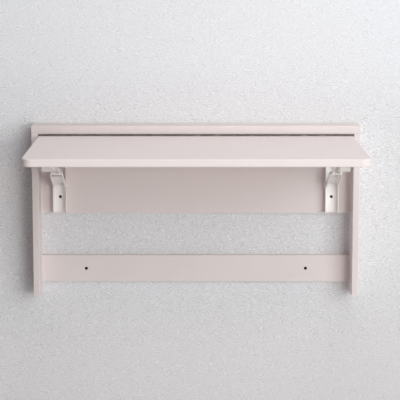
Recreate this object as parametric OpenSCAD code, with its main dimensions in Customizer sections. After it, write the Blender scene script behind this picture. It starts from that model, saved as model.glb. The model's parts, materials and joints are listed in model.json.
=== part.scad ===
// Fold-down wall desk: a shallow frame on the wall, a hinged worktop and two folding brackets.
// X runs to the right, Y towards the wall (the wall plane is Y = 0) and Z up.
// The origin lies on the wall plane, midway between the two upper wall screw holes.

/* [Frame] */
// Overall width over the side stiles
frame_w = 900; // [780:10:1100]
// Overall height from the stile feet to the top board's upper face
frame_h = 475; // [470:5:560]
// Depth of the stiles and the top board, from the wall forward
frame_d = 80; // [79:1:90]
// Thickness of the top board
top_t = 22; // [18:1:28]
// Thickness of each side stile
stile_t = 18; // [16:1:25]
// Thickness of the upper panel and the lower rail
panel_t = 18; // [16:1:19]
// Height of the upper panel
panel_h = 231; // [229:1:260]
// Height of the lower rail
rail_h = 75; // [66:1:100]
// Height of the lower rail above the stile feet
rail_lift = 27; // [10:1:50]
// Radius of the eased long edges of the frame boards
edge_r = 1.5; // [0.5:0.25:3]

/* [Worktop] */
// Height of the worktop above the upper wall screw holes
worktop_z = 179; // [178:1:184]
// Thickness of the worktop
leaf_t = 20; // [18:1:24]
// Depth of the worktop, back edge to front edge
leaf_d = 425; // [380:5:440]
// Gap between the folded worktop and each stile
leaf_gap = 1.5; // [1:0.25:4]
// Radius of the worktop's two front corners
corner_r = 25; // [8:1:45]
// Radius of the worktop's eased upper and lower edges
ease_r = 3; // [1:0.5:5]

/* [Wall holes] */
// Diameter of the holes for the wall screws
wall_hole_d = 8.5; // [5:0.5:9]
// Spacing of the two holes in the lower rail
rail_hole_pitch = 616; // [300:2:680]
// Width of the chamfer round the holes in the lower rail
rail_hole_chamfer = 0.5; // [0.25:0.25:1.5]

/* [Piano hinge] */
// Outer diameter of the barrel, which sets the slot above the worktop
barrel_d = 5; // [4.5:0.5:6]
// Diameter of the hinge pin
pin_d = 2.4; // [2:0.1:2.8]
// Thickness of the two hinge plates
plate_t = 1; // [0.8:0.1:1.2]
// Width of each hinge plate beyond the barrel
plate_w = 13; // [10:1:14]
// Distance from each end of the hinge to the stile beside it
hinge_inset = 3.5; // [2:0.5:20]
// Number of knuckles on the fixed plate
fixed_knuckles = 18; // [10:1:22]
// Gap between neighbouring knuckles
knuckle_gap = 0.3; // [0.2:0.1:0.6]
// Number of screws in each hinge plate
hinge_screws = 9; // [5:1:12]
// Radial play of the pins in their bores
play = 0.05; // [0.02:0.01:0.08]

/* [Folding brackets] */
// Distance from the outside of the frame to the middle of a bracket
bracket_inset = 72; // [66:1:110]
// Sheet thickness of every bracket piece
sheet_t = 1.5; // [1.2:0.1:1.8]
// Outer width of the leg channel
leg_w = 37; // [36:1:42]
// Depth of the leg channel
leg_d = 25; // [23:1:28]
// Length of the leg channel
leg_h = 225; // [215:1:227]
// Gap between the leg channel and the top board
leg_top_gap = 2; // [1:0.5:2.5]
// Outer radius of the two bends of the leg
leg_bend_r = 6; // [4:0.5:6]
// Distance of the lower pivot in front of the upper panel
pivot_out = 11; // [10.8:0.1:12]
// Height of the lower pivot above the upper wall screw holes
pivot_z = 32; // [28:1:36]
// Distance of the arm pivot in front of the hinge axis
arm_pivot_out = 172.5; // [166:0.5:178]
// Distance of the arm pivot below the worktop's underside
arm_pivot_drop = 13; // [12.5:0.5:15]
// Distance from a link's pivots to the outer face of its web
link_web = 9; // [8.5:0.1:9.2]
// Distance from a link's pivots to the free edges of its flanges
link_edge = 8; // [7:0.25:8.5]
// Radius of the links' rounded ends at the leg and at the arm
link_end_r = 6.5; // [5.5:0.1:6.6]
// Radius of the links' rounded ends at the knee
knee_r = 5.2; // [4.6:0.1:5.6]
// Length of the lower link's web, from the leg pivot towards the knee
lower_web_l = 60; // [40:1:62]
// Length of the upper link's web, from the arm pivot towards the knee
upper_web_l = 75; // [50:1:90]
// Diameter of the pivot rivets
rivet_d = 5; // [4:0.25:5.5]
// Side gap between the leg and the lower link
lower_side_gap = 0.5; // [0.4:0.1:0.8]
// Side gap between the lower link and the folded arm
arm_side_gap = 1.5; // [1.4:0.1:1.8]
// Side gap between the arm and the upper link
upper_side_gap = 1; // [0.5:0.1:1.2]
// Outer radius of the two bends of the arm
arm_bend_r = 6; // [4:0.5:6]
// Depth of the arm channel at its front end
arm_d = 32; // [30:1:33]
// Depth of the arm channel at its tapered rear end
arm_rear_d = 24; // [20:1:25]
// Distance of the arm's rear end in front of the hinge axis
arm_rear = 48; // [46:1:60]
// Distance of the arm's front end in front of the hinge axis
arm_front = 297.5; // [260:2.5:340]
// Length of the taper at the arm's rear end
arm_taper = 60; // [50:1:70]
// Thickness of the end cap's face
cap_t = 2; // [1.5:0.25:3]

/* [Fittings] */
// Diameter of the wooden dowels
dowel_d = 8; // [6:1:10]
// Length of the wooden dowels
dowel_l = 30; // [26:1:34]
// Depth of a dowel in the board that its end stands in
dowel_in = 12; // [9:1:13]
// Diameter of the cam discs
cam_d = 15; // [12:0.5:15]
// Distance from a board's end to the middle of its cam disc
cam_inset = 34; // [26:1:34]
// Distance of the outer cams from the panel's lower edge
panel_cam_edge = 26; // [20:1:40]
// Distance of a dowel from the cam beside it in the panel's ends
dowel_pitch = 34; // [26:1:38]
// Distance of the rail's dowels from its middle line
rail_dowel_pitch = 22; // [18:1:24]
// Distance of the top board's dowels from its front and back edges
dowel_edge = 22; // [16:1:26]
// Length of the screws that hold the legs and the arms
bracket_screw_l = 14; // [10:1:16]
// Length of the screws in the hinge plates
plate_screw_l = 12; // [8:1:16]
// Play round dowels, screws and cams in their holes
fit_gap = 0.1; // [0.05:0.05:0.2]

/* [Hidden] */
$fn = 64;
eps = 0.01;
sides = [-1, 1];

// Heights and depths of the frame
front_y = -frame_d;
slot_top_z = worktop_z + barrel_d;
foot_z = slot_top_z + top_t - frame_h;
inner_w = frame_w - 2 * stile_t;
stile_x = (frame_w - stile_t) / 2;
panel_z = slot_top_z - panel_h;
rail_z = foot_z + rail_lift;
rail_hole_z = rail_z + rail_h / 2;
bracket_x = frame_w / 2 - bracket_inset;

// Worktop and hinge
hinge_y = front_y - barrel_d / 2;
hinge_z = worktop_z + barrel_d / 2;
leaf_w = inner_w - 2 * leaf_gap;
leaf_back_y = front_y - barrel_d;
hinge_l = inner_w - 2 * hinge_inset;
knuckle_pitch = hinge_l / (2 * fixed_knuckles - 1);
hinge_screw_pitch = 4 * knuckle_pitch * (fixed_knuckles - 1) / (2 * hinge_screws);

// Widths of the nested bracket channels
lower_w = leg_w - 2 * (sheet_t + lower_side_gap);
arm_w = lower_w - 2 * (sheet_t + arm_side_gap);
upper_w = arm_w - 2 * (sheet_t + upper_side_gap);
link_bend_r = leg_bend_r - sheet_t;

// Pivots of the strut, each as [y, z], and the lengths of its two links.
// The lengths differ by fold_drop, so the knee folds straight up into the leg.
lower_pivot = [-panel_t - pivot_out, pivot_z];
arm_pivot = [hinge_y - arm_pivot_out, worktop_z - leaf_t - arm_pivot_drop];
strut = arm_pivot - lower_pivot;
strut_l = norm(strut);
strut_angle = atan2(strut[1], -strut[0]);
fold_drop = pivot_z - (hinge_z - arm_pivot_out);
lower_l = (strut_l - fold_drop) / 2;
upper_l = strut_l - lower_l;
knee_gap = 0.3;
link_taper = 20;
rivet_r = rivet_d / 2;
collar_r = rivet_r + 1.5;

// Leg
leg_y = -panel_t;
leg_top_z = slot_top_z - leg_top_gap;
leg_z = leg_top_z - leg_h;
leg_corner_r = 5;
leg_screw_edge = 12;
leg_screw_pitch = 88;
leg_screw_z = [leg_top_z - leg_screw_edge, leg_top_z - leg_screw_edge - leg_screw_pitch];

// Arm
arm_z = worktop_z - leaf_t;
arm_rear_screw_edge = 26;
arm_front_screw_edge = 18;
arm_middle_screw_shift = 20;
arm_screw_out = [arm_rear + arm_rear_screw_edge,
                 (arm_pivot_out + arm_front) / 2 - arm_middle_screw_shift,
                 arm_front - arm_front_screw_edge];

// Screws: [head radius, head height, shank radius, length]
bracket_screw_head_r = 4;
bracket_screw_r = 2;
plate_screw_head_r = 2.6;
plate_screw_r = 1.2;
bracket_screw = [bracket_screw_head_r, sheet_t, bracket_screw_r, bracket_screw_l];
plate_screw = [plate_screw_head_r, plate_t, plate_screw_r, plate_screw_l];

// Dowels and cam fittings
cam_disc_t = panel_t / 2 + 4;
cam_bolt_in = 10;
cam_bolt_r = 3;
top_cam_pitch = 0.58 * inner_w / 2;
panel_cam_z = [panel_z + panel_cam_edge, slot_top_z - panel_cam_edge - dowel_pitch];
panel_dowel_z = [panel_cam_z[0] + dowel_pitch, panel_cam_z[1] - dowel_pitch];
rail_dowel_z = [rail_hole_z - rail_dowel_pitch, rail_hole_z + rail_dowel_pitch];

// ---------- Shared shapes ----------

// Rectangle w wide, from y = -d to y = 0, with all four corners rounded
module rounded_rect(w, d, r) {
    translate([-w / 2 + r, -d]) square([w - 2 * r, d]);
    translate([-w / 2, -d + r]) square([w, d - 2 * r]);
    for (x = sides)
        for (y = [-r, -d + r])
            translate([x * (w / 2 - r), y]) circle(r);
}

// Rectangle w wide, from y = -d to y = 0, with only its two corners at y = 0 rounded
module half_rounded_rect(w, d, r) {
    translate([-w / 2 + r, -d]) square([w - 2 * r, d]);
    translate([-w / 2, -d]) square([w, d - r]);
    for (x = sides)
        translate([x * (w / 2 - r), -r]) circle(r);
}

// Section of a sheet channel: web along y = 0, flanges down to y = -d, outer bend radius r
module channel_section(w, d, r) {
    difference() {
        half_rounded_rect(w, d, r);
        translate([0, -sheet_t]) half_rounded_rect(w - 2 * sheet_t, d, r - sheet_t);
    }
}

// Turns a channel section into a channel that runs forward, web up
module run_forward(length) {
    rotate([90, 0, 0]) linear_extrude(length) children();
}

// Extrudes a side view, drawn as [forward, up], to width w across X
module across(w) {
    rotate([90, 0, -90]) linear_extrude(w, center = true) children();
}

// Turns a piece that stands along Z so that it lies along X
module along_x() {
    rotate([0, 90, 0]) children();
}

// Puts a piece drawn at the origin on the left (-1) or right (1) bracket
module on_bracket(side) {
    translate([side * bracket_x, 0, 0]) children();
}

// Puts a piece at the strut's lower pivot, with the strut along -Y and its webs up
module on_strut(side, along) {
    on_bracket(side)
        translate([0, lower_pivot[0], lower_pivot[1]])
            rotate([-strut_angle, 0, 0])
                translate([0, -along, 0]) children();
}

// Puts two mirrored copies of a piece on a bracket pivot
module both_flanges() {
    for (s = sides) scale([s, 1, 1]) children();
}

// Countersunk screw, tip towards +Z and the face of its head at z = -size[1]
module screw(size) {
    rotate_extrude()
        polygon([[0, -size[1]], [size[0], -size[1]], [size[2], 0],
                 [size[2], size[3] - 2], [0, size[3]]]);
}

// Countersunk hole for a screw, through sheet that lies between z = -size[1] and z = 0
module screw_hole(size) {
    translate([0, 0, -size[1] - eps])
        cylinder(r1 = size[0] + fit_gap, r2 = size[2] + fit_gap, h = size[1] + 2 * eps);
}

// Pilot hole for a screw, from just below z = 0 upwards
module pilot(size) {
    translate([0, 0, -eps]) cylinder(r = size[2] + fit_gap, h = size[3] + eps);
}

// ---------- Dowels and cam fittings ----------

module dowel(gap) {
    translate([0, 0, -dowel_in - gap]) cylinder(d = dowel_d + 2 * gap, h = dowel_l + 2 * gap);
}

// Places its children at every dowel, with +Z into the board that holds the longer end
module at_dowels() {
    for (s = sides) {
        for (y = [-dowel_edge, front_y + dowel_edge])
            translate([s * stile_x, y, slot_top_z]) rotate([180, 0, 0]) children();
        for (z = concat(panel_dowel_z, rail_dowel_z))
            translate([s * inner_w / 2, -panel_t / 2, z]) rotate([0, -90 * s, 0]) children();
    }
}

// Places its children at every cam fitting, with +Z along the bolt and the board's back at +Y
module at_cams() {
    for (s = sides)
        for (z = concat(panel_cam_z, [rail_hole_z]))
            translate([s * inner_w / 2, -panel_t / 2, z]) rotate([0, -90 * s, 0]) children();
    for (x = [-1, 0, 1])
        translate([x * top_cam_pitch, -panel_t / 2, slot_top_z]) rotate([180, 0, 0])
            mirror([0, 1, 0]) children();
}

// Bolt that screws into one board and is drawn tight by the cam in the other
module cam_bolt() {
    rotate_extrude()
        polygon([[0, -cam_bolt_in], [cam_bolt_r, -cam_bolt_in], [cam_bolt_r, -fit_gap],
                 [cam_bolt_r - 0.8, 0], [cam_bolt_r - 0.8, cam_inset - 3],
                 [cam_bolt_r, cam_inset - 2], [cam_bolt_r, cam_inset + 1], [0, cam_inset + 1]]);
}

module cam_bolt_hole() {
    translate([0, 0, -cam_bolt_in - fit_gap])
        cylinder(r = cam_bolt_r + fit_gap, h = cam_bolt_in + cam_inset + 2);
}

// Round body of a cam, from the board's back inwards
module cam_body(gap) {
    translate([0, panel_t / 2, cam_inset]) rotate([90, 0, 0])
        cylinder(d = cam_d + 2 * gap, h = cam_disc_t + gap);
}

module cam_disc() {
    difference() {
        cam_body(0);
        cylinder(r = cam_bolt_r + 0.5, h = cam_inset + 2);
        translate([0, panel_t / 2, cam_inset]) cube([cam_d * 0.6, 4, 2], center = true);
        translate([0, panel_t / 2, cam_inset]) cube([2, 4, cam_d * 0.6], center = true);
    }
}

// Everything that the fittings cut out of the frame boards
module fitting_holes() {
    at_dowels() dowel(fit_gap);
    at_cams() cam_bolt_hole();
    at_cams() cam_body(fit_gap);
    at_hinge_screws(fixed = true) pilot(plate_screw);
    for (s = sides) at_leg_screws(s) pilot(bracket_screw);
}

module frame_dowels() {
    color("burlywood") at_dowels() dowel(0);
}

module cam_bolts() {
    color("silver") at_cams() cam_bolt();
}

module cam_discs() {
    color("silver") at_cams() cam_disc();
}

// ---------- Frame boards ----------

module top_board() {
    color("mistyrose") difference() {
        across(frame_w) translate([frame_d / 2, slot_top_z + top_t])
            rounded_rect(frame_d, top_t, edge_r);
        fitting_holes();
    }
}

module stile(side) {
    color("mistyrose") difference() {
        translate([side * stile_x, 0, foot_z])
            linear_extrude(slot_top_z - foot_z) rounded_rect(stile_t, frame_d, edge_r);
        fitting_holes();
    }
}

module wall_hole() {
    rotate([90, 0, 0]) cylinder(d = wall_hole_d, h = 4 * panel_t, center = true);
}

module upper_panel() {
    color("mistyrose") difference() {
        across(inner_w) translate([panel_t / 2, panel_z]) rotate(180)
            half_rounded_rect(panel_t, panel_h, edge_r);
        for (s = sides) on_bracket(s) wall_hole();
        fitting_holes();
    }
}

module lower_rail() {
    color("mistyrose") difference() {
        across(inner_w) translate([panel_t / 2, rail_z + rail_h])
            rounded_rect(panel_t, rail_h, edge_r);
        for (s = sides)
            translate([s * rail_hole_pitch / 2, 0, rail_hole_z]) {
                wall_hole();
                translate([0, -panel_t - eps, 0]) rotate([-90, 0, 0])
                    cylinder(d1 = wall_hole_d + 2 * rail_hole_chamfer, d2 = wall_hole_d,
                             h = rail_hole_chamfer);
            }
        fitting_holes();
    }
}

// ---------- Worktop ----------

// Worktop outline: square back corners on the hinge side, rounded front corners
module leaf_outline(inset) {
    translate([0, leaf_back_y - leaf_d + inset])
        rotate(180) half_rounded_rect(leaf_w - 2 * inset, leaf_d - inset, corner_r - inset);
}

// Rounds the worktop's edges at one height: its two ends, its front and its front corners
module eased_edges() {
    x = leaf_w / 2 - ease_r;
    y = leaf_back_y - leaf_d + ease_r;
    corner = corner_r - ease_r;
    translate([0, y, 0]) along_x() cylinder(r = ease_r, h = 2 * (x - corner), center = true);
    for (s = sides) {
        translate([s * x, leaf_back_y, 0])
            rotate([90, 0, 0]) cylinder(r = ease_r, h = leaf_d - corner_r);
        translate([s * (x - corner), y + corner, 0]) rotate([0, 0, s > 0 ? -90 : 180])
            rotate_extrude(angle = 90) translate([corner, 0]) circle(ease_r);
    }
}

module worktop_board() {
    translate([0, 0, worktop_z - leaf_t]) {
        linear_extrude(leaf_t) leaf_outline(ease_r);
        translate([0, 0, ease_r]) linear_extrude(leaf_t - 2 * ease_r) leaf_outline(0);
        for (z = [ease_r, leaf_t - ease_r]) translate([0, 0, z]) eased_edges();
    }
}

module worktop() {
    color("mistyrose") difference() {
        worktop_board();
        at_hinge_screws(fixed = false) pilot(plate_screw);
        for (s = sides) at_arm_screws(s) pilot(bracket_screw);
    }
}

// ---------- Piano hinge ----------

module knuckles(first, count) {
    for (i = [0 : count - 1])
        translate([-hinge_l / 2 + (first + 2 * i) * knuckle_pitch + knuckle_gap / 2, hinge_y, hinge_z])
            along_x() cylinder(d = barrel_d, h = knuckle_pitch - knuckle_gap);
}

// Clears the knuckles of the other plate out of a plate
module knuckle_reliefs(first, count) {
    for (i = [0 : count - 1])
        translate([-hinge_l / 2 + (first + 2 * i) * knuckle_pitch - knuckle_gap / 2, hinge_y, hinge_z])
            along_x() cylinder(d = barrel_d + 2 * knuckle_gap, h = knuckle_pitch + knuckle_gap);
}

module hinge_bore() {
    translate([0, hinge_y, hinge_z]) along_x()
        cylinder(d = pin_d + 2 * play, h = hinge_l + 2, center = true);
}

// Places its children at the screws of the fixed or the moving plate, tip into the board
module at_hinge_screws(fixed) {
    for (i = [0 : hinge_screws - 1])
        translate([(i - (hinge_screws - 1) / 2) * hinge_screw_pitch, 0, 0])
            if (fixed)
                translate([0, front_y + plate_w / 2, slot_top_z]) children();
            else
                translate([0, leaf_back_y, worktop_z - plate_w / 2]) rotate([90, 0, 0]) children();
}

module hinge_fixed_plate() {
    color("dimgray") difference() {
        union() {
            difference() {
                translate([-hinge_l / 2, hinge_y, slot_top_z - plate_t])
                    cube([hinge_l, plate_w + barrel_d / 2, plate_t]);
                knuckle_reliefs(1, fixed_knuckles - 1);
            }
            knuckles(0, fixed_knuckles);
        }
        hinge_bore();
        at_hinge_screws(fixed = true) screw_hole(plate_screw);
    }
}

module hinge_moving_plate() {
    color("dimgray") difference() {
        union() {
            difference() {
                translate([-hinge_l / 2, leaf_back_y, worktop_z - plate_w])
                    cube([hinge_l, plate_t, plate_w + barrel_d / 2]);
                knuckle_reliefs(0, fixed_knuckles);
            }
            knuckles(1, fixed_knuckles - 1);
        }
        hinge_bore();
        at_hinge_screws(fixed = false) screw_hole(plate_screw);
    }
}

module hinge_pin() {
    color("gray") translate([0, hinge_y, hinge_z]) along_x()
        cylinder(d = pin_d, h = hinge_l, center = true);
}

module hinge_frame_screws() {
    color("dimgray") at_hinge_screws(fixed = true) screw(plate_screw);
}

module hinge_leaf_screws() {
    color("dimgray") at_hinge_screws(fixed = false) screw(plate_screw);
}

// ---------- Leg ----------

// Places its children at the leg's wood screws, tip towards the wall
module at_leg_screws(side) {
    for (z = leg_screw_z)
        on_bracket(side) translate([0, leg_y, z]) rotate([-90, 0, 0]) children();
}

// Side view of the leg, with the free corners of its flanges rounded
module leg_side() {
    translate([panel_t, leg_z]) difference() {
        square([leg_d, leg_h]);
        for (z = [0, leg_h - leg_corner_r])
            translate([leg_d - leg_corner_r, z]) square(leg_corner_r + eps);
    }
    for (z = [leg_z + leg_corner_r, leg_top_z - leg_corner_r])
        translate([panel_t + leg_d - leg_corner_r, z]) circle(leg_corner_r);
}

module leg(side) {
    color("white") difference() {
        on_bracket(side) intersection() {
            translate([0, leg_y, leg_z]) linear_extrude(leg_h) channel_section(leg_w, leg_d, leg_bend_r);
            across(leg_w) leg_side();
        }
        on_strut(side, 0) along_x() cylinder(r = rivet_r + play, h = 2 * leg_w, center = true);
        on_bracket(side) wall_hole();
        at_leg_screws(side) screw_hole(bracket_screw);
    }
}

module leg_screws(side) {
    color("silver") at_leg_screws(side) screw(bracket_screw);
}

// One short rivet: domed head outside the leg, flat head inside the lower link
module leg_rivet() {
    head_x = leg_w / 2;
    link_x = lower_w / 2 - sheet_t;
    rotate([0, 90, 0]) rotate_extrude()
        polygon([[0, link_x - 1], [collar_r, link_x - 1], [collar_r, link_x - play],
                 [rivet_r, link_x - play], [rivet_r, head_x], [collar_r + 0.5, head_x],
                 [collar_r, head_x + 1.2], [rivet_r, head_x + 2], [0, head_x + 2]]);
}

module leg_rivets(side) {
    color("silver") on_strut(side, 0) both_flanges() leg_rivet();
}

// ---------- Strut: lower link, knee and upper link ----------

// Side view of a link from its leg or arm pivot at [0, 0] to the knee at [length, 0].
// The web runs along the top and stops short of the knee, so that the links fold past each other.
module link_side(length, web_l) {
    fork_top = link_web - link_bend_r;
    circle(link_end_r);
    translate([length, 0]) circle(knee_r);
    polygon([[0, -link_end_r], [link_end_r, -link_edge], [length - link_taper, -link_edge],
             [length, -knee_r], [length, fork_top], [web_l + link_bend_r, fork_top],
             [web_l, link_web], [0, link_web]]);
}

// Link between its end pivot at the origin and the knee, running forward with its web up
module link(length, w, web_l) {
    difference() {
        intersection() {
            translate([0, link_end_r, link_web])
                run_forward(length + 2 * link_end_r)
                    channel_section(w, link_web + link_edge, link_bend_r);
            across(w) link_side(length, web_l);
        }
        for (y = [0, -length])
            translate([0, y, 0]) along_x() cylinder(r = rivet_r + play, h = 2 * w, center = true);
    }
}

module lower_link(side) {
    color("white") on_strut(side, 0) link(lower_l, lower_w, lower_web_l);
}

// Rivet end in one of the lower link's flanges at the knee
module knee_rivet() {
    rotate([0, 90, 0])
        translate([0, 0, lower_w / 2 - sheet_t]) cylinder(r = rivet_r, h = sheet_t);
}

module knee_rivets(side) {
    color("silver") on_strut(side, lower_l) both_flanges() knee_rivet();
}

module upper_link(side) {
    color("white") on_strut(side, strut_l) rotate([0, 0, 180]) link(upper_l, upper_w, upper_web_l);
}

// Pin through the upper link's knee end, with the spacers that centre it in the lower link
module knee_pin(side) {
    inner_x = upper_w / 2 - sheet_t;
    end_x = lower_w / 2 - sheet_t - knee_gap;
    color("silver") on_strut(side, lower_l) rotate([0, 90, 0]) rotate_extrude()
        polygon([[0, -end_x], [collar_r, -end_x], [collar_r, -upper_w / 2],
                 [rivet_r, -upper_w / 2], [rivet_r, -inner_x],
                 [collar_r, -inner_x], [collar_r, inner_x], [rivet_r, inner_x],
                 [rivet_r, upper_w / 2], [collar_r, upper_w / 2], [collar_r, end_x], [0, end_x]]);
}

// ---------- Arm ----------

// Places its children at the arm's wood screws, tip up into the worktop
module at_arm_screws(side) {
    for (out = arm_screw_out)
        on_bracket(side) translate([0, hinge_y - out, arm_z]) children();
}

// Side view of the arm as [forward, up], shallower towards its rear end
module arm_side() {
    polygon([[arm_rear, 0], [arm_front - cap_t, 0], [arm_front - cap_t, -arm_d],
             [arm_rear + arm_taper, -arm_d], [arm_rear, -arm_rear_d]]);
}

module arm(side) {
    color("white") difference() {
        on_bracket(side) translate([0, hinge_y, arm_z]) intersection() {
            run_forward(arm_front) channel_section(arm_w, arm_d, arm_bend_r);
            across(arm_w) arm_side();
        }
        on_strut(side, strut_l) along_x()
            cylinder(r = rivet_r + play, h = 2 * arm_w, center = true);
        at_arm_screws(side) screw_hole(bracket_screw);
    }
}

module arm_rivet(side) {
    head_x = arm_w / 2;
    color("silver") on_strut(side, strut_l) rotate([0, 90, 0]) rotate_extrude()
        polygon([[0, -head_x - 1], [collar_r - 0.5, -head_x - 1], [collar_r, -head_x],
                 [rivet_r, -head_x], [rivet_r, head_x], [collar_r, head_x],
                 [collar_r - 0.5, head_x + 1], [0, head_x + 1]]);
}

module arm_screws(side) {
    color("silver") at_arm_screws(side) screw(bracket_screw);
}

// End cap: a rimmed face over the channel's end, and a plug that grips inside it
module arm_cap(side) {
    plug_l = 8;
    plug_w = arm_w - 2 * (sheet_t + fit_gap);
    rim = 2;
    color("white") on_bracket(side) translate([0, hinge_y - arm_front, arm_z]) {
        difference() {
            translate([0, cap_t, 0]) run_forward(cap_t) half_rounded_rect(arm_w, arm_d, arm_bend_r);
            translate([0, cap_t / 2, -rim]) run_forward(cap_t)
                half_rounded_rect(arm_w - 2 * rim, arm_d - 2 * rim, arm_bend_r - rim);
        }
        translate([0, cap_t + plug_l, -sheet_t - fit_gap]) difference() {
            run_forward(plug_l)
                half_rounded_rect(plug_w, arm_d - sheet_t - fit_gap, arm_bend_r - sheet_t - fit_gap);
            translate([0, eps, -sheet_t]) run_forward(plug_l)
                half_rounded_rect(plug_w - 2 * sheet_t, arm_d - 3 * sheet_t,
                                  arm_bend_r - 2 * sheet_t - fit_gap);
        }
    }
}

top_board();
stile(-1);  // left_stile
stile(1);  // right_stile
upper_panel();
lower_rail();
frame_dowels();
cam_bolts();
cam_discs();
hinge_fixed_plate();
hinge_moving_plate();
hinge_pin();
hinge_frame_screws();
hinge_leaf_screws();
worktop();
leg(-1);  // left_leg
leg(1);  // right_leg
leg_screws(-1);  // left_leg_screws
leg_screws(1);  // right_leg_screws
leg_rivets(-1);  // left_leg_rivets
leg_rivets(1);  // right_leg_rivets
lower_link(-1);  // left_lower_link
lower_link(1);  // right_lower_link
knee_rivets(-1);  // left_knee_rivets
knee_rivets(1);  // right_knee_rivets
upper_link(-1);  // left_upper_link
upper_link(1);  // right_upper_link
knee_pin(-1);  // left_knee_pin
knee_pin(1);  // right_knee_pin
arm(-1);  // left_arm
arm(1);  // right_arm
arm_rivet(-1);  // left_arm_rivet
arm_rivet(1);  // right_arm_rivet
arm_screws(-1);  // left_arm_screws
arm_screws(1);  // right_arm_screws
arm_cap(-1);  // left_arm_cap
arm_cap(1);  // right_arm_cap
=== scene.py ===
"""Looks of a fold-down wall desk: painted boards, powder-coated brackets and a dark piano hinge."""

import json
import math

import bmesh
import bpy
from mathutils import Matrix, Vector


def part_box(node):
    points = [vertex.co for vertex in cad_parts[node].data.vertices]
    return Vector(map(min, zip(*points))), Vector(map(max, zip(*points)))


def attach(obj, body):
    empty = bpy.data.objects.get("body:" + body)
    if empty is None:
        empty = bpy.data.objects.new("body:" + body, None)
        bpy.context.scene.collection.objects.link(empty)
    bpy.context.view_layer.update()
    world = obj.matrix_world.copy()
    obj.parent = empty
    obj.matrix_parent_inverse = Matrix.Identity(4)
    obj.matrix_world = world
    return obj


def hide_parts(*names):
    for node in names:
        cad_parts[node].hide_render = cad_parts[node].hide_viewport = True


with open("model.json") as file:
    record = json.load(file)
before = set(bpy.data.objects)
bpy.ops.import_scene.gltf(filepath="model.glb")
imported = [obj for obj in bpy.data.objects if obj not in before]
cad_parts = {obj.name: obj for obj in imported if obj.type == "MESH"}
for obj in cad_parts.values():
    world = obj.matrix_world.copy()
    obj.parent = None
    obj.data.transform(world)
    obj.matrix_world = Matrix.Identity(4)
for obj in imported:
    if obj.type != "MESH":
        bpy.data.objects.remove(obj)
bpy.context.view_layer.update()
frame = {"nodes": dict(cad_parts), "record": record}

MM = 0.001
X, Y, Z = 0, 1, 2

# The mounts that are screwed to the wall; all their bores are alike.
SCREW_HOLES = {m["name"]: m for m in frame["record"]["mounts"] if m["kind"] == "bolt_pattern"}
BORE_R = next(iter(SCREW_HOLES.values()))["dims"]["hole_r_mm"] * MM

# ---------- Sizes, metres ----------

# How far cut edges are rounded.
BOARD_EDGE = 0.8 * MM
BRACKET_SHEET_EDGE = 0.35 * MM
HINGE_PLATE_EDGE = 0.15 * MM
CAP_EDGE = 0.5 * MM

# How far a board's paint changes: in from its edges (EDGE_RUB_AND_HIGHLIGHT, paler from wear and a
# painted highlight), out from a bore's wall (BORE_RAW_AND_SHADE, raw board darkened with painted shade,
# and BORE_HIGHLIGHT, a painted highlight round the bore), in from its top and bottom faces (BAND_INSIDE,
# the sides' painted light) and down from its top (TOP_SHADE_DEPTHS, painted shade on the top face). A
# pair gives the two ends of a fade.
EDGE_RUB_AND_HIGHLIGHT = 2.6 * MM
BORE_RAW_AND_SHADE = (0.10 * MM, 0.30 * MM)
BORE_HIGHLIGHT = (0.6 * MM, 2.2 * MM)
BAND_INSIDE = (0.1 * MM, 1.4 * MM)
TOP_SHADE_DEPTHS = (0.4 * MM, 0.1 * MM)

HINGE_SCREW = {
    "head_radius": 2.6 * MM, "head_height": 1 * MM, "shank_radius": 1.2 * MM, "length": 13 * MM,
    "thread_pitch": 1.1 * MM,
}
BRACKET_SCREW = {
    "head_radius": 4 * MM, "head_height": 1.5 * MM, "shank_radius": 2 * MM, "length": 15.5 * MM,
    "thread_pitch": 1.8 * MM,
}
LEG_RIVET = {
    "head_radius": 4.5 * MM, "head_height": 2 * MM, "shank_radius": 2.5 * MM, "grip": 3.5 * MM,
    "tail_radius": 4 * MM, "tail_height": 1 * MM,
}
ARM_RIVET = {
    "head_radius": 4 * MM, "head_height": 1 * MM, "shank_radius": 2.5 * MM, "grip": 27 * MM,
    "tail_radius": 4 * MM, "tail_height": 1 * MM,
}
DOWEL = {"radius": 4 * MM, "length": 30 * MM, "chamfer": 0.8 * MM, "flute_depth": 0.25 * MM}

# Corners of a node's triangles nearer than SAME_CORNER are one, an edge within ON_PLANE of a plane lies
# in it, and edges shorter than SLIVER are taken out after rounding.
SAME_CORNER = 0.004 * MM
ON_PLANE = 0.02 * MM
SLIVER = 0.001 * MM

# Faces that meet at less than FLAT are one face, and an edge sharper than SHARP is rounded. Shading runs
# smoothly over corners up to SMOOTH, or FASTENER_SMOOTH on the repeated fasteners. All in degrees.
FLAT, SHARP, SMOOTH, FASTENER_SMOOTH = 0.5, 35, 40, 32

# ---------- Colours, linear ----------

BOARD_PAINT = (0.790, 0.706, 0.692)
BOARD_SHADE = (0.737, 0.643, 0.623)
# Paler edges and bore rims: undercoat from wear, and painted highlight.
BOARD_UNDERCOAT_AND_HIGHLIGHT = (0.905, 0.858, 0.838)
# Painted shade on the top board's top face.
BOARD_TOP_SHADE = (0.640, 0.590, 0.565)
# A paler edge band: painted light on the worktop's sides.
EDGE_BAND_AND_LIGHT = (0.905, 0.815, 0.800)
BRACKET_COAT = (0.945, 0.885, 0.858)
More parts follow.
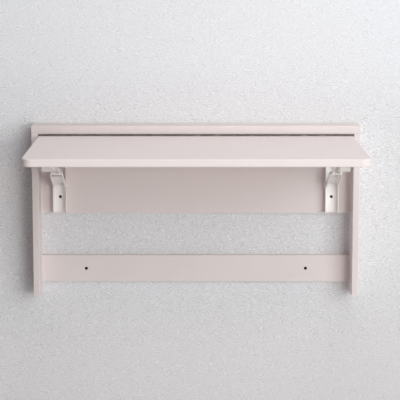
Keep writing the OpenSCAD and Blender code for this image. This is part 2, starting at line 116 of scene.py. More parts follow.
# Painted highlight along the brackets' cut edges.
BRACKET_EDGE_HIGHLIGHT = (0.975, 0.935, 0.915)
BRACKET_RUB = (0.800, 0.750, 0.720)
HINGE_STEEL = (0.070, 0.055, 0.052)
HINGE_STEEL_LIGHT = (0.165, 0.138, 0.131)
ZINC = (0.560, 0.555, 0.530)
ZINC_DULL = (0.400, 0.402, 0.392)
BEECH = (0.560, 0.350, 0.180)
BEECH_DARK = (0.390, 0.215, 0.098)
CAP_PLASTIC = (0.800, 0.765, 0.740)
WALL_PAINT = (0.962, 0.949, 0.966)
WALL_PAINT_LOW = (0.552, 0.543, 0.552)
# Painted light and shade on the wall.
WALL_PAINTED_LIGHT = (0.930, 0.956, 1.000)
WALL_PAINTED_WARM_LIGHT = (1.000, 0.933, 0.924)
WALL_PAINTED_SHADOW = (0.400, 0.385, 0.395)
FLOOR_PAINT = (0.780, 0.772, 0.765)
FLOOR_PAINT_PALE = (0.900, 0.888, 0.904)
# Painted shade in the holes drilled into the wall.
HOLE_SHADE = (0.018, 0.015, 0.014)
# Raw board in the bores, darkened with painted shade.
RAW_BOARD_AND_SHADE = (0.052, 0.036, 0.028)


# ---------- Node trees ----------


class Wire:
    """A value on its way through a node tree, with Python's operators for its maths."""

    def __init__(self, nodes, socket):
        self.nodes = nodes
        self.socket = socket

    def maths(self, operation, *terms):
        """The outcome of a Math node, whose terms are values or numbers."""
        return self.nodes.add("ShaderNodeMath", {"operation": operation}, dict(enumerate(terms)))

    def maths_alone(self, operation):
        """The outcome of a Math node that works on this value only."""
        return self.maths(operation, self)

    def __add__(self, other):
        return self.maths("ADD", self, other)

    def __sub__(self, other):
        return self.maths("SUBTRACT", self, other)

    def __rsub__(self, other):
        return self.maths("SUBTRACT", other, self)

    def __mul__(self, other):
        return self.maths("MULTIPLY", self, other)

    def __truediv__(self, other):
        return self.maths("DIVIDE", self, other)

    def __abs__(self):
        return self.maths("ABSOLUTE", self)

    __radd__ = __add__
    __rmul__ = __mul__

    def least(self, other):
        return self.maths("MINIMUM", self, other)

    def most(self, other):
        return self.maths("MAXIMUM", self, other)

    def fade(self, low, high):
        """0 at low, 1 at high, with soft ends."""
        sockets = {"Value": self, "From Min": low, "From Max": high}
        return self.nodes.add("ShaderNodeMapRange", {"interpolation_type": "SMOOTHSTEP"}, sockets)


class Nodes:
    """A node tree that grows one node at a time."""

    def __init__(self, tree):
        self.tree = tree
        tree.nodes.clear()

    def add(self, kind, settings=None, sockets=None, output=0):
        """Adds a node and returns one of its outputs, or the node itself where output is None."""
        node = self.tree.nodes.new(kind)
        for name, value in (settings or {}).items():
            if name == "index_switch_items":
                # The number of choices can't be set, only grown.
                while len(node.index_switch_items) < value:
                    node.index_switch_items.new()
            else:
                setattr(node, name, value)
        for name, value in (sockets or {}).items():
            self.feed(node.inputs[name], value)
        return node if output is None else Wire(self, node.outputs[output])

    def feed(self, socket, value):
        """Sets a socket to a value, or links one value or a list of them to it."""
        if isinstance(value, list):
            for wire in value:
                self.feed(socket, wire)
        elif isinstance(value, Wire):
            self.tree.links.new(value.socket, socket)
        elif socket.type == "RGBA" and len(value) == 3:
            socket.default_value = (*value, 1)
        else:
            socket.default_value = value

    def along(self, axis):
        """One coordinate of place(), in metres."""
        return self.add("ShaderNodeSeparateXYZ", sockets={0: self.place()}, output=axis)

    def colours(self, factor, low, high):
        """One colour at factor 0, the other at 1."""
        # Many of a Mix node's sockets share a name, so its colours go by number.
        sockets = {0: factor, 6: low, 7: high}
        return self.add("ShaderNodeMix", {"data_type": "RGBA"}, sockets, output=2)


class Finish(Nodes):
    """A material that is built node by node round one Principled surface."""

    def __init__(self, name):
        self.material = bpy.data.materials.new(name)
        self.material.use_nodes = True
        super().__init__(self.material.node_tree)
        self.surface = self.add("ShaderNodeBsdfPrincipled", output=None)
        sockets = {"Surface": self.shader()}
        self.output = self.add("ShaderNodeOutputMaterial", sockets=sockets, output=None)

    def shader(self):
        return Wire(self, self.surface.outputs[0])

    def set(self, **values):
        """Sets the surface's sockets; an underscore stands for the space in a socket's name."""
        for name, value in values.items():
            self.feed(self.surface.inputs[name.replace("_", " ")], value)

    def place(self, stretch=(1, 1, 1)):
        """Object coordinates, times a factor on each axis."""
        spot = self.add("ShaderNodeTexCoord", output="Object")
        return self.add("ShaderNodeVectorMath", {"operation": "MULTIPLY"}, {0: spot, 1: stretch})

    def noise(self, size, stretch=(1, 1, 1), detail=3.0, roughness=0.5, swirl=0.0):
        """Noise of about 0 to 1 whose spots are about size metres across."""
        sockets = {
            "Vector": self.place(stretch), "Scale": 1 / size, "Detail": detail, "Roughness": roughness,
            "Distortion": swirl,
        }
        return self.add("ShaderNodeTexNoise", sockets=sockets)

    def relief(self, height, depth):
        """Bump of the given depth in metres."""
        return self.add("ShaderNodeBump", sockets={"Strength": 1.0, "Distance": depth, "Height": height})

    def near_edges(self, low, high, width):
        """1 on the edges of the box between two corners, fading to 0 at the given width from them."""
        gaps = []
        for axis in (X, Y, Z):
            spot = self.along(axis)
            gaps.append((spot - low[axis]).least(high[axis] - spot))
        a, b, c = gaps
        middle = a.least(b).most(a.most(b).least(c))
        return 1 - middle.fade(0, width)

    def worn(self):
        """The edge mask that soften() leaves on a piece."""
        return self.add("ShaderNodeAttribute", {"attribute_name": "edge"}, output="Fac")

    def from_axes(self, centres):
        """Distance in metres from the nearest of some axes along Y, each given by its x and z."""
        nearest = None
        for x, z in centres:
            aside, above = self.along(X) - x, self.along(Z) - z
            away = (aside * aside + above * above).maths_alone("SQRT")
            nearest = away if nearest is None else nearest.least(away)
        return nearest

    def clear_from_behind(self, casts_shadow):
        """The material, clear where it is seen from behind."""
        clear = self.add("ShaderNodeBsdfTransparent")
        behind = self.add("ShaderNodeNewGeometry", output="Backfacing")
        shadow = self.add("ShaderNodeLightPath", output="Is Shadow Ray")
        hidden = behind * (1 - shadow) if casts_shadow else behind.most(shadow)
        sides = {0: hidden, 1: self.shader(), 2: clear}
        self.feed(self.output.inputs["Surface"], self.add("ShaderNodeMixShader", sockets=sides))
        return self.material


# ---------- Finishes ----------

# Painted light and shade on the wall, metres: heights between which a tone of painted light fades, and
# the spot (x, z) of a painted shadow with the distances from it between which it fades. A share is how
# much of the paint the tone takes over.
LIGHT_HEIGHTS = (0.12, 0.42)
LIGHT_SHARE = 0.42
WARM_LIGHT_HEIGHTS = (-0.54, -0.20)
WARM_LIGHT_SHARE = 0.30
SHADOW_PLACE = (0.66, -0.66)
SHADOW_REACH = (0.10, 0.62)
SHADOW_SHARE = 0.29


def board_paint(name, node, run, bores=(), lit_band=False, shaded_top=False):
    """Satin paint on board: roller stipple, faint grain along the run, edges paler from wear and a
    painted highlight, raw bored holes darkened with painted shade and ringed with a painted highlight.

    A worktop's sides can take a paler edge band that paints the light they catch, and a top board's top
    face a grey film of painted shade."""
    low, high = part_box(node)
    f = Finish(name)
    across = tuple(0.10 if axis == run else 1.0 for axis in (X, Y, Z))
    grain = f.noise(0.006, across, detail=4.0, roughness=0.62)
    cloud = f.noise(0.130, detail=2.0)
    stipple = f.noise(0.0016, detail=3.0, roughness=0.6)
    patches = f.noise(0.012, detail=3.0).fade(0.42, 0.66)
    # Paler near the edges: wear, with a painted highlight along them.
    paler_mask = f.near_edges(low, high, EDGE_RUB_AND_HIGHLIGHT) * (0.55 + 0.45 * patches)
    tone = (0.55 * cloud + 0.45 * grain).fade(0.30, 0.70)
    paint = f.colours(0.30 * tone, BOARD_PAINT, BOARD_SHADE)
    height = f.along(Z)
    # Painted light: the sides are paler than the faces, as if they caught more light.
    if lit_band:
        inside = (height - low[Z]).least(high[Z] - height)
        paint = f.colours(inside.fade(*BAND_INSIDE), paint, EDGE_BAND_AND_LIGHT)
    # Painted shade: the top face is greyed, as if less light fell on it.
    if shaded_top:
        starts, full = (high[Z] - depth for depth in TOP_SHADE_DEPTHS)
        top_shade = height.fade(starts, full) * (0.5 + 0.5 * (cloud - 0.5))
        paint = f.colours(top_shade, paint, BOARD_TOP_SHADE)
    # A painted highlight round each bore, and raw board darkened with painted shade inside it.
    if bores:
        away = f.from_axes(bores)
        paler_mask = paler_mask.most(0.8 - 0.8 * away.fade(*(BORE_R + wide for wide in BORE_HIGHLIGHT)))
    paint = f.colours(0.70 * paler_mask, paint, BOARD_UNDERCOAT_AND_HIGHLIGHT)
    if bores:
        paint = f.colours(away.fade(*(BORE_R + wide for wide in BORE_RAW_AND_SHADE)), RAW_BOARD_AND_SHADE, paint)
    f.set(
        Base_Color=paint,
        Roughness=0.52 + 0.10 * stipple + 0.10 * paler_mask,
        Normal=f.relief(0.72 * stipple + 0.28 * grain, 0.10 * MM),
        Specular_IOR_Level=0.35,
    )
    return f.material


def powder_coat(name):
    """Thick white powder coat on sheet steel: fine orange peel, with a painted highlight along the cut
    edges.
    """
    f = Finish(name)
    peel = f.noise(0.0011, detail=2.0, roughness=0.45)
    cloud = f.noise(0.045, detail=2.0)
    scuff = f.noise(0.007, detail=3.0).fade(0.60, 0.74)
    coat = f.colours(0.14 * cloud + 0.20 * scuff, BRACKET_COAT, BRACKET_RUB)
    # Paler along the cut edges: a painted highlight.
    f.set(
        Base_Color=f.colours(0.8 * f.worn(), coat, BRACKET_EDGE_HIGHLIGHT),
        Roughness=0.32 + 0.14 * peel + 0.10 * scuff,
        Normal=f.relief(peel, 0.05 * MM),
        Coat_Weight=0.15,
        Coat_Roughness=0.25,
    )
    return f.material


def dark_steel(name):
    """Rolled hinge steel, drawn along X, with its oil-dark skin rubbed bright here and there."""
    f = Finish(name)
    draw = f.noise(0.0009, (0.02, 1, 1), detail=3.0, roughness=0.7)
    bloom = f.noise(0.022, detail=3.0).fade(0.45, 0.75)
    paler_mask = (0.6 * bloom + 0.5 * f.worn()).least(1.0)
    f.set(
        Base_Color=f.colours(paler_mask, HINGE_STEEL, HINGE_STEEL_LIGHT),
        Metallic=0.75,
        Roughness=0.36 + 0.22 * draw,
        Normal=f.relief(draw, 0.03 * MM),
    )
    return f.material


def zinc(name):
    """Zinc-plated steel with a dull, slightly blotched skin."""
    f = Finish(name)
    spangle = f.noise(0.0030, detail=3.0, roughness=0.6)
    fine = f.noise(0.0005, detail=2.0)
    f.set(
        Base_Color=f.colours(spangle.fade(0.35, 0.68), ZINC, ZINC_DULL),
        Metallic=0.9,
        Roughness=0.42 + 0.20 * spangle,
        Normal=f.relief(fine, 0.02 * MM),
    )
    return f.material


def beech(name, run):
    """Bare beech with its short dark flecks along the run."""
    f = Finish(name)
    along = tuple(0.12 if axis == run else 1.0 for axis in (X, Y, Z))
    fleck = f.noise(0.0014, along, detail=4.0, roughness=0.6)
    f.set(
        Base_Color=f.colours(fleck.fade(0.42, 0.70), BEECH, BEECH_DARK),
        Roughness=0.62 + 0.12 * fleck,
        Normal=f.relief(fleck, 0.08 * MM),
    )
    return f.material


def moulded_plastic(name):
    """Fine spark-eroded texture of a moulded cap."""
    f = Finish(name)
    spark = f.noise(0.0006, detail=2.0)
    cloud = f.noise(0.018, detail=2.0)
    f.set(
        Base_Color=f.colours(0.35 * cloud, CAP_PLASTIC, BRACKET_RUB),
        Roughness=0.42 + 0.16 * spark,
        Normal=f.relief(spark, 0.03 * MM),
    )
    return f.material


def plaster(name):
    """Rolled wall paint: short flat strokes and specks in patches, with a slow drift in tone and painted
    light.

    It is paler and cooler above LIGHT_HEIGHTS and warmer below WARM_LIGHT_HEIGHTS, both painted light,
    and dimmer round SHADOW_PLACE, a painted shadow."""
    f = Finish(name)
    stroke = f.noise(0.0031, (0.46, 1, 1.30), detail=1.5, swirl=0.3)
    patch = f.noise(0.020, (0.7, 1, 1), detail=2.0).fade(0.44, 0.66)
    cloud = f.noise(0.42, detail=2.0)
    speck = (stroke - 0.5) * (0.75 + 1.10 * patch)
    paint = f.colours(0.5 + 1.2 * speck + 0.12 * (cloud - 0.5), WALL_PAINT_LOW, WALL_PAINT)
    height = f.along(Z)
    # Painted light: paler and cooler up high, warmer low down.
    paint = f.colours(LIGHT_SHARE * height.fade(*LIGHT_HEIGHTS), paint, WALL_PAINTED_LIGHT)
    paint = f.colours(WARM_LIGHT_SHARE - WARM_LIGHT_SHARE * height.fade(*WARM_LIGHT_HEIGHTS), paint, WALL_PAINTED_WARM_LIGHT)
    # Painted shadow round a spot low at the right.
    away = f.from_axes([SHADOW_PLACE]).fade(*SHADOW_REACH)
    f.set(
        Base_Color=f.colours(SHADOW_SHARE - SHADOW_SHARE * away, paint, WALL_PAINTED_SHADOW),
        Roughness=0.85,
        Normal=f.relief(0.5 + speck, 0.9 * MM),
    )
    return f.clear_from_behind(casts_shadow=False)


def floor_paint(name):
    """Plain matt floor with a slow drift in tone, which keeps the desk's shadow."""
    f = Finish(name)
    cloud = f.noise(0.55, detail=2.0)
    f.set(Base_Color=f.colours(cloud, FLOOR_PAINT, FLOOR_PAINT_PALE), Roughness=0.75)
    return f.clear_from_behind(casts_shadow=True)


def drilled_dark(name):
    """Painted shade of a hole in the wall, on a flat disc: nearly black, with a few paler crumbs."""
    f = Finish(name)
    crumbs = f.noise(0.0012, detail=2.0)
    f.set(Base_Color=f.colours(0.5 * crumbs, HOLE_SHADE, HINGE_STEEL), Roughness=0.95)
    return f.material


# ---------- Piece making ----------


def smooth(mesh, corner):
    """Shades a mesh smooth below an angle in degrees."""
    for face in mesh.polygons:
        face.use_smooth = True
    mesh.set_sharp_from_angle(angle=math.radians(corner))


def make_piece(name, mesh, material=None, corner=SMOOTH):
    """An object at the origin round a finished mesh."""
    if material:
        mesh.materials.append(material)
    smooth(mesh, corner)
    piece = bpy.data.objects.new(name, mesh)
    bpy.context.scene.collection.objects.link(piece)
    return piece


def mesh_of(name, bm):
    """A mesh from a bmesh, which is used up."""
    mesh = bpy.data.meshes.new(name)
    bm.to_mesh(mesh)
    bm.free()
    return mesh


def body_of_node(node):
    return next(b for b, nodes in frame["record"]["behaviour"]["bodies"].items() if node in nodes)


def stand_for(piece, node):
    """Puts a piece in its node's place, on the node's body."""
    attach(piece, body_of_node(node))
    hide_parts(node)


def merged(node):
    """A bmesh copy of a node with its loose triangles joined."""
    bm = bmesh.new()
    bm.from_mesh(frame["nodes"][node].data)
    bmesh.ops.remove_doubles(bm, verts=bm.verts, dist=SAME_CORNER)
    return bm


def on_plane(edge, axis, place):
    """Whether an edge lies in the plane at a place on an axis."""
    return all(abs(vert.co[axis] - place) < ON_PLANE for vert in edge.verts)


def soften(node, width, material, ends=None):
    """Replaces a sharp-edged node by itself with its edges rounded and marked for the finish.

    Where ends are given as (axis, place), only the edges that lie in those planes are rounded."""
    bm = merged(node)
    bmesh.ops.dissolve_limit(bm, angle_limit=math.radians(FLAT), verts=bm.verts, edges=bm.edges)
    edge = bm.verts.layers.float.new("edge")
    joined = [e for e in bm.edges if len(e.link_faces) == 2]
    sharp = [e for e in joined if e.calc_face_angle(0) > math.radians(SHARP)]
    if ends:
        sharp = [e for e in sharp if any(on_plane(e, axis, place) for axis, place in ends)]
    rounded = bmesh.ops.bevel(
        bm, geom=sharp, offset=width, offset_type="OFFSET", segments=2, profile=0.6,
        affect="EDGES", clamp_overlap=True,
    )
    for vert in rounded["verts"]:
        vert[edge] = 1.0
    bmesh.ops.dissolve_degenerate(bm, dist=SLIVER, edges=bm.edges)
    shape = node + "_shape"
    stand_for(make_piece(shape, mesh_of(shape, bm), material, corner=SHARP), node)


# ---------- Repeated fasteners ----------

ROUND_SIDES = 32

# A screw's shank has SHANK_STEPS rings along it. BLADE_THICKNESS is a share of a recess blade's width.
SHANK_SIDES, SHANK_STEPS = 16, 60
SCREW_RIM = 0.06 * MM
BLADE_THICKNESS = 0.22

# Degrees from the top of a rivet's dome to its rim, one for each ring.
DOME_ANGLES = (14, 32, 50, 68, 82, 90)

FLUTES = 12
FLUTED_SIDES = 6 * FLUTES


class Pattern(Nodes):
    """A Geometry Nodes tree with named sizes, which sets one shape on every point of a mesh.

    The shape's +Z lies along the point's axis attribute, and the shape is turned about it at random."""

    def __init__(self, name, *sizes):
        super().__init__(bpy.data.node_groups.new(name, "GeometryNodeTree"))
        self.port = {}
        lengths = {size: "Float" for size in sizes}
        ports = {"Points": "Geometry", **lengths, "Seed": "Int", "Finish": "Material"}
        for label, kind in ports.items():
            self.port[label] = self.socket(label, "INPUT", kind).identifier
        self.socket("Shape", "OUTPUT", "Geometry")
        self.given = self.add("NodeGroupInput", output=None)
        self.sizes = [self.size(label) for label in sizes]

    def socket(self, label, side, kind):
        return self.tree.interface.new_socket(label, in_out=side, socket_type="NodeSocket" + kind)

    def size(self, label):
        return Wire(self, self.given.outputs[label])

    def place(self):
        return self.add("GeometryNodeInputPosition")

    def reshape(self, shape, x, y, z):
        """Gives every point of a shape new coordinates."""
        spot = self.add("ShaderNodeCombineXYZ", sockets={0: x, 1: y, 2: z})
        return self.add("GeometryNodeSetPosition", sockets={"Geometry": shape, "Position": spot})

    def blank(self, sides, steps):
        """A cylinder of radius 1 between z = -0.5 and 0.5."""
        sockets = {"Vertices": sides, "Side Segments": steps, "Radius": 1.0, "Depth": 1.0}
        return self.add("GeometryNodeMeshCylinder", sockets=sockets)

    def ring_value(self, ring, values):
        """The value of a list that a ring's number picks."""
        settings = {"data_type": "FLOAT", "index_switch_items": len(values)}
        choices = {str(i): value for i, value in enumerate(values)}
        return self.add("GeometryNodeIndexSwitch", settings, {"Index": ring, **choices})

    def turned(self, rings, sides, trim=1.0):
        """A closed turned shape about Z, through rings of (radius, height) from one end to the other."""
        steps = len(rings) - 1
        # A link into a whole number cuts its fraction off, so half is added to round it.
        ring = (self.along(Z) + 0.5) * steps + 0.5
        radius, height = (self.ring_value(ring, values) for values in zip(*rings))
        radius = radius * trim
        blank = self.blank(sides, steps)
        return self.reshape(blank, self.along(X) * radius, self.along(Y) * radius, height)

    def angle(self):
        """The angle about Z as a share of one turn."""
        return self.along(Y).maths("ARCTAN2", self.along(Y), self.along(X)) / math.tau

    def carve(self, operation, *shapes):
        """One closed shape from several: the first less the others, or all together."""
        first, rest = (shapes[:1], shapes[1:]) if operation == "DIFFERENCE" else ((), shapes)
        sockets = {"Mesh 2": list(rest), **({"Mesh 1": first[0]} if first else {})}
        return self.add("GeometryNodeMeshBoolean", {"operation": operation, "solver": "EXACT"}, sockets)

    def finish(self, shape):
        """Ends the tree: the shape on every point, as plain mesh with its finish."""
        vector = {"data_type": "FLOAT_VECTOR"}
        axis = self.add("GeometryNodeInputNamedAttribute", vector, {"Name": "axis"})
        facing = self.add("FunctionNodeAlignRotationToVector", {"axis": "Z"}, {"Vector": axis})
        # Sockets 2 and 3 are the least and the most of a random number.
        sockets = {2: 0.0, 3: math.tau, "Seed": self.size("Seed")}
        spin = self.add("FunctionNodeRandomValue", {"data_type": "FLOAT"}, sockets, output=1)
        sockets = {"Axis": (0, 0, 1), "Angle": spin}
        turn = self.add("FunctionNodeAxisAngleToRotation", sockets=sockets)
        local = {"rotation_space": "LOCAL"}
        facing = self.add("FunctionNodeRotateRotation", local, {0: facing, 1: turn})
        sockets = {"Points": self.size("Points"), "Instance": shape, "Rotation": facing}
        copies = self.add("GeometryNodeInstanceOnPoints", sockets=sockets)
        mesh = self.add("GeometryNodeRealizeInstances", sockets={0: copies})
        sockets = {"Geometry": mesh, "Material": self.size("Finish")}
        mesh = self.add("GeometryNodeSetMaterial", sockets=sockets)
        self.add("NodeGroupOutput", sockets={"Shape": mesh}, output=None)
        return self


def recess_blade(p, head_r, head_h, turn):
    """One wedge-shaped blade of a cross recess, sized by the head and turned about the screw's axis."""
    sockets = {
        "Vertices": 4, "Side Segments": 1, "Radius Bottom": 0.84 * head_r,
        "Radius Top": 0.30 * head_r, "Depth": 1.4 * head_h,
    }
    wedge = p.add("GeometryNodeMeshCone", sockets=sockets)
    sockets = {"Geometry": wedge, "Rotation": (0, 0, math.pi / 4)}
    wedge = p.add("GeometryNodeTransform", sockets=sockets)
    sockets = {"Geometry": wedge, "Scale": (1.0, BLADE_THICKNESS, 1.0)}
    wedge = p.add("GeometryNodeTransform", sockets=sockets)
    below = p.add("ShaderNodeCombineXYZ", sockets={2: -0.5 * head_h})
    sockets = {"Geometry": wedge, "Translation": below, "Rotation": (0, 0, turn)}
    return p.add("GeometryNodeTransform", sockets=sockets)


def screw_pattern():
    """A countersunk wood screw from the face of its head: cross recess, cone, neck, thread and point."""
    sizes = ("Head Radius", "Head Height", "Shank Radius", "Length", "Thread Pitch")
    p = Pattern("countersunk_screw", *sizes)
    head_r, head_h, shank_r, length, pitch = p.sizes
    rim = [(head_r - SCREW_RIM, 0.0), (head_r, SCREW_RIM)]
    neck = [(shank_r, head_h), (shank_r, 1.3 * head_h)]
    head = p.turned(rim + neck, ROUND_SIDES)
    blades = [recess_blade(p, head_r, head_h, turn) for turn in (math.pi / 4, 3 * math.pi / 4)]
    head = p.carve("DIFFERENCE", head, *blades)
    start = 1.1 * head_h
    down = p.along(Z) + 0.5
    height = start + down * (length - start)
    crest = abs(2 * (height / pitch - p.angle()).maths_alone("FRACT") - 1).fade(0.2, 0.8)
    threaded = (height - start).fade(0.10 * length, 0.20 * length)
    point = ((length - height) / (3.0 * shank_r) + 0.06).least(1.0)
    radius = shank_r * (1 - threaded * (0.30 - 0.30 * crest)) * point * (0.86 + 0.14 * threaded)
    blank = p.blank(SHANK_SIDES, SHANK_STEPS)
    shank = p.reshape(blank, p.along(X) * radius, p.along(Y) * radius, height)
    return p.finish(p.carve("UNION", head, shank))


def rivet_pattern():
    """A rivet from the top of its dome: domed head, shank through the sheets and a flat closing head."""
    sizes = ("Head Radius", "Head Height", "Shank Radius", "Grip", "Tail Radius", "Tail Height")
    p = Pattern("rivet", *sizes)
    head_r, head_h, shank_r, grip, tail_r, tail_h = p.sizes
    angles = map(math.radians, DOME_ANGLES)
    dome = [(math.sin(a) * head_r, (1 - math.cos(a)) * head_h) for a in angles]
    under, top = head_h + grip, head_h + grip + tail_h
    shank = [(shank_r, head_h), (shank_r, under)]
    tail = [(tail_r, under), (tail_r, under + 0.6 * tail_h), (0.86 * tail_r, top)]
    return p.finish(p.turned(dome + shank + tail, ROUND_SIDES))


def dowel_pattern():
    """A fluted dowel from one chamfered end to the other."""
    p = Pattern("fluted_dowel", "Radius", "Length", "Chamfer", "Flute Depth")
    radius, length, chamfer, flute = p.sizes
    groove = (p.angle() * (FLUTES * math.tau)).maths_alone("COSINE").most(0.0)
    start = [(radius - chamfer, 0.0), (radius, chamfer)]
    end = [(radius, length - chamfer), (radius - chamfer, length)]
    return p.finish(p.turned(start + end, FLUTED_SIDES, 1 - groove * flute / radius))


def loose_boxes(node):
    """The lowest and highest corners of each separate solid of a node."""
    bm = merged(node)
    seen, boxes = set(), []
    for first in bm.verts:
        if first in seen:
            continue
        seen.add(first)
        solid, waiting = [], [first]
        while waiting:
            vert = waiting.pop()
            solid.append(vert.co)
            near = [e.other_vert(vert) for e in vert.link_edges]
            waiting += [v for v in near if v not in seen]
            seen.update(near)
        boxes.append([[pick(co[axis] for co in solid) for axis in (X, Y, Z)] for pick in (min, max)])
    bm.free()
    return boxes


def repeat(node, pattern, material, seed, towards=None, **sizes):
    """Replaces the alike solids of a node by a pattern's shape, one for each, pointing towards a place.

    towards is (axis, place); without it each solid points up its own longest side."""
    starts, ways = [], []
    for low, high in loose_boxes(node):
        spans = [b - a for a, b in zip(low, high)]
        axis, place = towards or (spans.index(max(spans)), math.inf)
        start = [(a + b) / 2 for a, b in zip(low, high)]
        way = 1 if start[axis] < place else -1
        start[axis] = (low if way > 0 else high)[axis]
        starts.append(start)
        ways.append([way if i == axis else 0 for i in (X, Y, Z)])
    points = bpy.data.meshes.new(node + "_points")
    points.from_pydata(starts, [], [])
    axes = points.attributes.new("axis", "FLOAT_VECTOR", "POINT")
    for item, way in zip(axes.data, ways):
        item.vector = way
    holder = bpy.data.objects.new(node + "_points", points)
    bpy.context.scene.collection.objects.link(holder)
    modifier = holder.modifiers.new("pattern", "NODES")
    modifier.node_group = pattern.tree
    named = {name.replace("_", " ").title(): value for name, value in sizes.items()}
    for label, value in {**named, "Seed": seed, "Finish": material}.items():
        modifier[pattern.port[label]] = value
    evaluated = holder.evaluated_get(bpy.context.evaluated_depsgraph_get())
    mesh = bpy.data.meshes.new_from_object(evaluated)
    mesh.name = node + "_shape"
    bpy.data.objects.remove(holder)
    stand_for(make_piece(node + "_shape", mesh, corner=FASTENER_SMOOTH), node)


def dress(node, material):
    """Gives a node that keeps its own shape its finish."""
    for slot in frame["nodes"][node].material_slots:
        slot.material = material


# ---------- Pieces ----------

# Places that fasteners point towards, as (axis, place on it).
UP, FRONT, BACK, RIGHT = (Z, math.inf), (Y, -math.inf), (Y, math.inf), (X, math.inf)


def bores_through(mount_name):
    """The (x, z) places of a mount's two wall screw holes, left one first."""
    mount = SCREW_HOLES[mount_name]
    reach = mount["dims"]["spacing_x_mm"] * MM / 2
    return [(mount["pos_m"][X] + s * reach, mount["pos_m"][Z]) for s in (-1, 1)]


def dress_boards():
    left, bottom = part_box("top_board")[0][X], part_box("left_stile")[0][Z]
    top_paint = board_paint("paint_top_board", "top_board", X, shaded_top=True)
    soften("top_board", BOARD_EDGE, top_paint, ends=[(X, left), (X, -left)])
    for node in ("left_stile", "right_stile"):
        soften(node, BOARD_EDGE, board_paint("paint_" + node, node, Z), ends=[(Z, bottom)])
    dress("worktop", board_paint("paint_worktop", "worktop", X, lit_band=True))
    drilled = {"upper_panel": "upper_wall_screws", "lower_rail": "lower_wall_screws"}
    for node, mount_name in drilled.items():
        dress(node, board_paint("paint_" + node, node, X, bores_through(mount_name)))
    plated = zinc("zinc")
    dress("cam_bolts", plated)
    dress("cam_discs", plated)
    repeat("frame_dowels", dowel_pattern(), beech("beech", X), seed=3, **DOWEL)


def dress_hinge(screws):
    steel = dark_steel("hinge_steel")
    for node in ("hinge_fixed_plate", "hinge_moving_plate"):
        soften(node, HINGE_PLATE_EDGE, steel)
    dress("hinge_pin", steel)
    repeat("hinge_frame_screws", screws, steel, seed=11, towards=UP, **HINGE_SCREW)
    repeat("hinge_leaf_screws", screws, steel, seed=12, towards=FRONT, **HINGE_SCREW)


def dress_bracket(side, screws, rivets, seed):
    coat = powder_coat(side + "_coat")
    for part in ("leg", "lower_link", "upper_link", "arm"):
        soften(f"{side}_{part}", BRACKET_SHEET_EDGE, coat)
    for part in ("knee_rivets", "knee_pin"):
        dress(f"{side}_{part}", coat)
    soften(side + "_arm_cap", CAP_EDGE, moulded_plastic(side + "_plastic"))
    plated = zinc(side + "_zinc")
    repeat(side + "_leg_screws", screws, plated, seed, towards=BACK, **BRACKET_SCREW)
    repeat(side + "_arm_screws", screws, plated, seed + 1, towards=UP, **BRACKET_SCREW)
    low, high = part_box(side + "_leg")
    middle = (X, (low[X] + high[X]) / 2)
    repeat(side + "_leg_rivets", rivets, coat, seed + 2, towards=middle, **LEG_RIVET)
    repeat(side + "_arm_rivet", rivets, coat, seed + 3, towards=RIGHT, **ARM_RIVET)


# ---------- Room ----------

WALL_GAP = 0.6 * MM
WALL_HALF_W = 3.2
WALL_TOP = 2.4
FLOOR_Z = -0.625
FLOOR_REACH = 4.0
# Radius of the discs of painted shade for the holes in the wall.
HOLE_SHADE_R = BORE_R - 0.15 * MM


def make_sheet(name, corners, material):
    """A flat sheet of the room, seen on the side from which its corners run anticlockwise."""
    bm = bmesh.new()
    bm.faces.new([bm.verts.new(corner) for corner in corners])
    make_piece(name, mesh_of(name, bm), material)


def make_room():
    around = ((-1, 0), (1, 0), (1, 1), (-1, 1))
    wall_h = WALL_TOP - FLOOR_Z
    wall = [(across * WALL_HALF_W, WALL_GAP, FLOOR_Z + up * wall_h) for across, up in around]
    make_sheet("wall", wall, plaster("plaster"))
    around = ((-1, -1), (1, -1), (1, 1), (-1, 1))
    floor = [(across * FLOOR_REACH, out * FLOOR_REACH, FLOOR_Z) for across, out in around]
    make_sheet("floor", floor, floor_paint("floor_paint"))


def make_drilled_holes():
    """Discs of painted shade on the wall where it is drilled behind the desk's four screw holes."""
    shade_paint = drilled_dark("drilled_dark")
    turns = [math.tau * i / ROUND_SIDES for i in range(ROUND_SIDES)]
    circle = [(HOLE_SHADE_R * math.cos(a), HOLE_SHADE_R * math.sin(a)) for a in turns]
    for mount_name in SCREW_HOLES:
        for side, (x, z) in zip(("left", "right"), bores_through(mount_name)):
            ring = [(x + aside, WALL_GAP / 2, z + above) for aside, above in circle]
            make_sheet(f"drilled_{mount_name}_{side}", ring, shade_paint)


# ---------- Light and camera ----------

MIDDLE = (0, -0.15, 0)

# Square lamps that face MIDDLE. Azimuth 0 is in front of the desk and 90 to its right, in degrees.
LAMPS = {
    "window": {
        "distance": 7.0, "azimuth": 32, "elevation": 16, "size": 4.9, "watts": 303,
        "colour": (0.880, 0.970, 1.000),
    },
    "high_window": {
        "distance": 2.4, "azimuth": 30, "elevation": 65, "size": 1.5, "watts": 23,
        "colour": (1.000, 0.980, 0.975),
    },
    "low_window": {
        "distance": 3.5, "azimuth": 22, "elevation": 6, "size": 0.7, "watts": 14,
        "colour": (1.000, 0.860, 0.740),
    },
    "rear": {
        "distance": 12.0, "azimuth": 180, "elevation": -2, "size": 0.5, "watts": 480,
        "colour": (1.000, 1.000, 1.000),
    },
}

# A faint warm light from all round, and the backdrop that is seen in its place.
AMBIENT = 0.030
AMBIENT_COLOUR = (1.00, 0.30, 0.20)
BACKDROP = 0.90
BACKDROP_COLOUR = (0.985, 0.985, 1.0)


def on_sphere(centre, distance, azimuth, elevation):
    """A place at a distance from the centre, with both angles in degrees."""
    a, e = math.radians(azimuth), math.radians(elevation)
    return (
        centre[X] + distance * math.sin(a) * math.cos(e),
        centre[Y] - distance * math.cos(a) * math.cos(e),
        centre[Z] + distance * math.sin(e),
    )


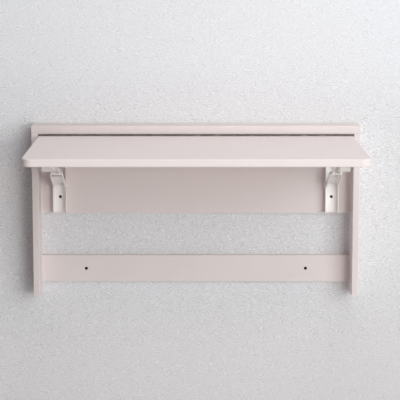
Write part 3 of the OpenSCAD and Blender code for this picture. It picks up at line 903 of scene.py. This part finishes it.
def add_lamp(name, distance, azimuth, elevation, size, watts, colour):
    data = bpy.data.lights.new(name, "AREA")
    data.shape = "SQUARE"
    data.size = size
    data.energy = watts
    data.color = colour
    lamp = bpy.data.objects.new(name, data)
    bpy.context.scene.collection.objects.link(lamp)
    place = on_sphere(MIDDLE, distance, azimuth, elevation)
    facing = (Vector(MIDDLE) - Vector(place)).to_track_quat("-Z", "Y")
    lamp.matrix_world = Matrix.Translation(place) @ facing.to_matrix().to_4x4()


def light_room():
    for name, settings in LAMPS.items():
        add_lamp(name, **settings)
    world = bpy.data.worlds.new("daylight")
    world.use_nodes = True
    bpy.context.scene.world = world
    sky = Nodes(world.node_tree)
    # The pale backdrop shows to the camera, in reflections and through clear sheets. The ambient colour
    # lights everything else.
    rays = ("Is Camera Ray", "Is Glossy Ray", "Is Transmission Ray")
    seen = [sky.add("ShaderNodeLightPath", output=ray) for ray in rays]
    seen = seen[0].most(seen[1]).most(seen[2])
    sockets = {
        "Color": sky.colours(seen, AMBIENT_COLOUR, BACKDROP_COLOUR),
        "Strength": AMBIENT + (BACKDROP - AMBIENT) * seen,
    }
    light = sky.add("ShaderNodeBackground", sockets=sockets)
    sky.add("ShaderNodeOutputWorld", sockets={"Surface": light}, output=None)


CAMERA_PLACE = (-0.0092, -4.0661, 0.7127)
CAMERA_DOWN_DEG = 8.252
CAMERA_SENSOR_MM = 36
CAMERA_LENS_MM = 132.48
CAMERA_SHIFT = (0.0186, -0.12)
CAMERA_SEES_TO = 50


def place_camera():
    data = bpy.data.cameras.new("camera")
    data.sensor_width = CAMERA_SENSOR_MM
    data.lens = CAMERA_LENS_MM
    data.shift_x, data.shift_y = CAMERA_SHIFT
    data.clip_end = CAMERA_SEES_TO
    camera = bpy.data.objects.new("camera", data)
    camera.location = CAMERA_PLACE
    camera.rotation_euler = (math.radians(90 - CAMERA_DOWN_DEG), 0, 0)
    bpy.context.scene.collection.objects.link(camera)
    bpy.context.scene.camera = camera


# ---------- The desk in its room ----------

place_camera()
screw = screw_pattern()
rivet = rivet_pattern()
dress_boards()
dress_hinge(screw)
dress_bracket("left", screw, rivet, 20)
dress_bracket("right", screw, rivet, 30)
make_room()
make_drilled_holes()
light_room()
bpy.context.scene.view_settings.view_transform = "Standard"
